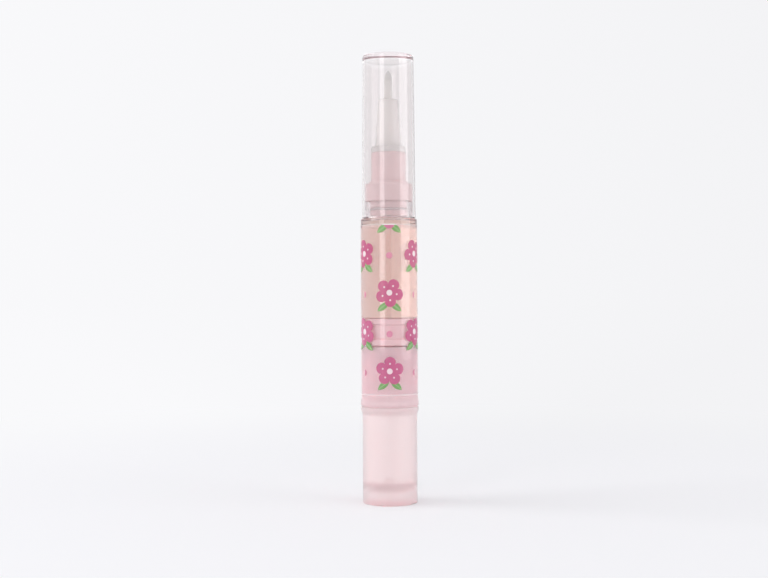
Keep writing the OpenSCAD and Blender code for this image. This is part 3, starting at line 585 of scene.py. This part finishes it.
# The inks, one over the other: pink petals, paler buds, green leaves with light ribs, pale eyes and dots
ink = add(tree, "ShaderNodeMix", {"Factor": dice, "A": linear("#CB4E88"), "B": linear("#DA78A3")},
          data_type="RGBA")
ink = add(tree, "ShaderNodeMix", {"Factor": buds, "A": ink, "B": linear("#E79AB6")}, data_type="RGBA")
leaf_ink = add(tree, "ShaderNodeMix", {"Factor": rib, "A": linear("#79B567"), "B": linear("#B5D9A4")},
               data_type="RGBA")
leaf_only = add(tree, "ShaderNodeMath", {0: leaves, 1: petals}, operation="SUBTRACT", use_clamp=True)
ink = add(tree, "ShaderNodeMix", {"Factor": leaf_only, "A": ink, "B": leaf_ink}, data_type="RGBA")
ink = add(tree, "ShaderNodeMix", {"Factor": pale, "A": ink, "B": linear("#FBEFF3")}, data_type="RGBA")
printed = add(tree, "ShaderNodeMath", {0: petals, 1: leaves}, operation="MAXIMUM")
printed = add(tree, "ShaderNodeMath", {0: printed, 1: buds}, operation="MAXIMUM")

# The back panel is left bare, so that no blossoms behind the oil show through it from the front
cell_middle = add(tree, "ShaderNodeMath", {0: around, 1: cell_x}, operation="SUBTRACT")
cell_middle = add(tree, "ShaderNodeMath", {0: cell_middle}, operation="ABSOLUTE")
front = add(tree, "ShaderNodeMath", {0: cell_middle, 1: front_share * column_pitch}, operation="LESS_THAN")
printed = add(tree, "ShaderNodeMath", {0: printed, 1: front}, operation="MULTIPLY")
ink_cover = 0.62
film_cover = 0.03
cover = add(tree, "ShaderNodeMath", {0: printed, 1: ink_cover - film_cover, 2: film_cover},
            operation="MULTIPLY_ADD")

# The film is 0.07 mm thick. Where its cut edges and its lap catch the light, a painted highlight is drawn as
# a white line 0.3 mm wide
edge_width = 0.3
glint_cover = 0.2
from_top = add(tree, "ShaderNodeMath", {0: film_high.z / MM, 1: along}, operation="SUBTRACT")
from_foot = add(tree, "ShaderNodeMath", {0: along, 1: film_low.z / MM}, operation="SUBTRACT")
from_front = add(tree, "ShaderNodeMath", {0: around}, operation="ABSOLUTE")
from_back = add(tree, "ShaderNodeMath", {0: math.pi * film_r, 1: from_front}, operation="SUBTRACT")
nearest = add(tree, "ShaderNodeMath", {0: from_top, 1: from_foot}, operation="MINIMUM")
nearest = add(tree, "ShaderNodeMath", {0: nearest, 1: from_back}, operation="MINIMUM")
edge_glint = add(tree, "ShaderNodeMath", {0: nearest, 1: edge_width}, operation="LESS_THAN")
ink = add(tree, "ShaderNodeMix", {"Factor": edge_glint, "A": ink, "B": linear("#FFFFFF")}, data_type="RGBA")
on_glint = add(tree, "ShaderNodeMath", {0: edge_glint, 1: glint_cover}, operation="MULTIPLY")
cover = add(tree, "ShaderNodeMath", {0: cover, 1: on_glint}, operation="MAXIMUM")
# The film's calendered skin gives a soft shine, and the inks let about a third of the light through
surface = add(tree, "ShaderNodeBsdfPrincipled", {
    "Base Color": ink, "Roughness": 0.25, "IOR": 1.49, "Alpha": cover})
add(tree, "ShaderNodeOutputMaterial", {"Surface": surface})
finish_node("label_film", film)


# Floor: a wide sheet of matt white paper that the pen stands on. It keeps the pen's soft shadow, and
# away from the pen it fades into the white background, so that no horizon shows.

floor_mesh = bpy.data.meshes.new("floor")
floor_half = 4.0
floor_mesh.from_pydata([(-floor_half, -floor_half, 0), (floor_half, -floor_half, 0),
                        (floor_half, floor_half, 0), (-floor_half, floor_half, 0)], [], [(0, 1, 2, 3)])
floor = bpy.data.objects.new("floor", floor_mesh)
bpy.context.scene.collection.objects.link(floor)
floor_gap = 0.02 * MM
floor.location.z = -floor_gap

paper, tree = start_material("matt white paper")
place = add(tree, "ShaderNodeNewGeometry").outputs["Position"]
length = add(tree, "ShaderNodeVectorMath", {0: place}, operation="LENGTH")
fade_from = 0.07
fade_to = 0.32
far = add(tree, "ShaderNodeMapRange", {"Value": length, "From Min": fade_from, "From Max": fade_to},
          interpolation_type="SMOOTHSTEP")
background_left = linear("#F9F9FB")
backdrop_right_painted_shade = linear("#F3F3F5")
# The right is painted a trace darker than the left, a painted shade where less of the lamps' light falls:
# near the pen by place, far away by direction
axes = add(tree, "ShaderNodeSeparateXYZ", {"Vector": place})
near_reach = 0.15
near_side = add(tree, "ShaderNodeMapRange", {"Value": axes.outputs["X"], "From Min": -near_reach,
                                             "From Max": near_reach})
towards = add(tree, "ShaderNodeVectorMath", {0: place}, operation="NORMALIZE")
axes = add(tree, "ShaderNodeSeparateXYZ", {"Vector": towards})
side_reach = 0.35
far_side = add(tree, "ShaderNodeMapRange", {"Value": axes.outputs["X"], "From Min": -side_reach,
                                            "From Max": side_reach})
side = add(tree, "ShaderNodeMix", {"Factor": far, "A": near_side, "B": far_side})
backdrop = add(tree, "ShaderNodeMix", {"Factor": side, "A": background_left, "B": backdrop_right_painted_shade},
               data_type="RGBA")
ray = add(tree, "ShaderNodeLightPath")
seen = add(tree, "ShaderNodeMath", {0: ray.outputs["Is Camera Ray"], 1: ray.outputs["Is Glossy Ray"]},
           operation="MAXIMUM")
seen = add(tree, "ShaderNodeMath", {0: seen, 1: ray.outputs["Is Transmission Ray"]},
           operation="MAXIMUM")
# The paper's own colour is painted a trace darker on the right too, as painted shade
paper_painted_shade = add(tree, "ShaderNodeMix", {"Factor": side, "A": linear("#F2F2F4"), "B": linear("#EDEDEF")},
            data_type="RGBA")
matt = add(tree, "ShaderNodeBsdfDiffuse", {"Color": paper_painted_shade})
lift = add(tree, "ShaderNodeEmission", {"Color": backdrop, "Strength": 0.03})
near = add(tree, "ShaderNodeAddShader", {0: matt, 1: lift})
white = add(tree, "ShaderNodeEmission", {"Color": backdrop, "Strength": 1.0})
faded = add(tree, "ShaderNodeMixShader", {"Fac": far, 1: near, 2: white})
shown = add(tree, "ShaderNodeMixShader", {"Fac": seen, 1: matt, 2: faded})
add(tree, "ShaderNodeOutputMaterial", {"Surface": shown})
floor.data.materials.append(paper)


# Background: a white backdrop. Things lit by it get a plain fill, and polished faces see it behind
# the pen, with a dimmer room in front.

world = bpy.data.worlds.new("white studio")
world.use_nodes = True
bpy.context.scene.world = world
tree = world.node_tree
tree.nodes.clear()
direction = add(tree, "ShaderNodeTexCoord").outputs["Generated"]
axes = add(tree, "ShaderNodeSeparateXYZ", {"Vector": direction})
side = add(tree, "ShaderNodeMapRange", {"Value": axes.outputs["X"], "From Min": -side_reach,
                                        "From Max": side_reach})
# The backdrop is painted a trace darker to the right, as painted shade where less light falls
backdrop = add(tree, "ShaderNodeMix", {"Factor": side, "A": background_left, "B": backdrop_right_painted_shade},
               data_type="RGBA")
# A mirrored ray sees the dim room where it points back past the camera, and the backdrop beyond the pen
room_from = -0.6
backdrop_from = 0.4
room_light = 0.5
behind = add(tree, "ShaderNodeMapRange", {
    "Value": axes.outputs["Y"], "From Min": room_from, "From Max": backdrop_from,
    "To Min": room_light, "To Max": 1.0})
ray = add(tree, "ShaderNodeLightPath")
mirrored = add(tree, "ShaderNodeMath", {0: ray.outputs["Is Glossy Ray"], 1: behind},
               operation="MULTIPLY")
seen = add(tree, "ShaderNodeMath", {0: ray.outputs["Is Camera Ray"], 1: ray.outputs["Is Transmission Ray"]},
           operation="MAXIMUM")
seen = add(tree, "ShaderNodeMath", {0: seen, 1: mirrored}, operation="MAXIMUM")
fill = add(tree, "ShaderNodeBackground", {"Color": linear("#FAFAFC"), "Strength": 0.85})
white = add(tree, "ShaderNodeBackground", {"Color": backdrop, "Strength": 1.0})
both = add(tree, "ShaderNodeMixShader", {"Fac": seen, 1: fill, 2: white})
add(tree, "ShaderNodeOutputWorld", {"Surface": both})


# Lamps: a soft box in front on the left and a wider one on the right, whose mirror images are the two
# tall highlights, and a large high panel on the left, which throws the soft shadow to the right.

def soft_box(name, azimuth, distance, height, width, tall, radiance):
    """Adds an area lamp that faces the pen's axis. Its azimuth is in degrees from the camera towards +X."""
    data = bpy.data.lights.new(name, "AREA")
    data.shape = "RECTANGLE"
    data.size = width
    data.size_y = tall
    data.energy = radiance * math.pi * width * tall
    lamp = bpy.data.objects.new(name, data)
    bpy.context.scene.collection.objects.link(lamp)
    turn = math.radians(azimuth)
    lamp.location = (distance * math.sin(turn), -distance * math.cos(turn), height)
    lamp.rotation_euler = (Vector((0, 0, height)) - lamp.location).to_track_quat("-Z", "Y").to_euler()


soft_box("strip_left", azimuth=-29, distance=0.7, height=0.19, width=0.25, tall=0.36, radiance=1.75)
soft_box("box_right", azimuth=73, distance=0.6, height=0.19, width=0.48, tall=0.36, radiance=1.55)
soft_box("panel_left", azimuth=-90, distance=1.2, height=0.89, width=0.9, tall=1.02, radiance=2.3)


# Camera: 380 mm in front of the pen at about half its height, looking level and rolled by a third of a
# degree, as in the photograph. Distance and lens bow the pen's rims as much as they bow there.

camera_aside = -0.00157
camera_away = 0.380
camera_height = 0.0642
camera_roll = 0.0056
camera_data = bpy.data.cameras.new("camera")
camera_data.sensor_width = 36.0
camera_data.lens = 59.1
camera = bpy.data.objects.new("camera", camera_data)
bpy.context.scene.collection.objects.link(camera)
camera.location = (camera_aside, -camera_away, camera_height)
camera.rotation_euler = (math.pi / 2, camera_roll, 0.0)
bpy.context.scene.camera = camera
bpy.context.scene.view_settings.view_transform = "Standard"
# Light crosses up to a dozen faces of clear plastic here before it reaches the backdrop. Their refraction
# is kept sharp after a matt bounce too, because blurring it would darken all that stands inside them
bpy.context.scene.cycles.blur_glossy = 0.0
bpy.context.scene.cycles.max_bounces = 64
bpy.context.scene.cycles.diffuse_bounces = 32
bpy.context.scene.cycles.glossy_bounces = 32
bpy.context.scene.cycles.transmission_bounces = 64
bpy.context.scene.cycles.transparent_max_bounces = 32
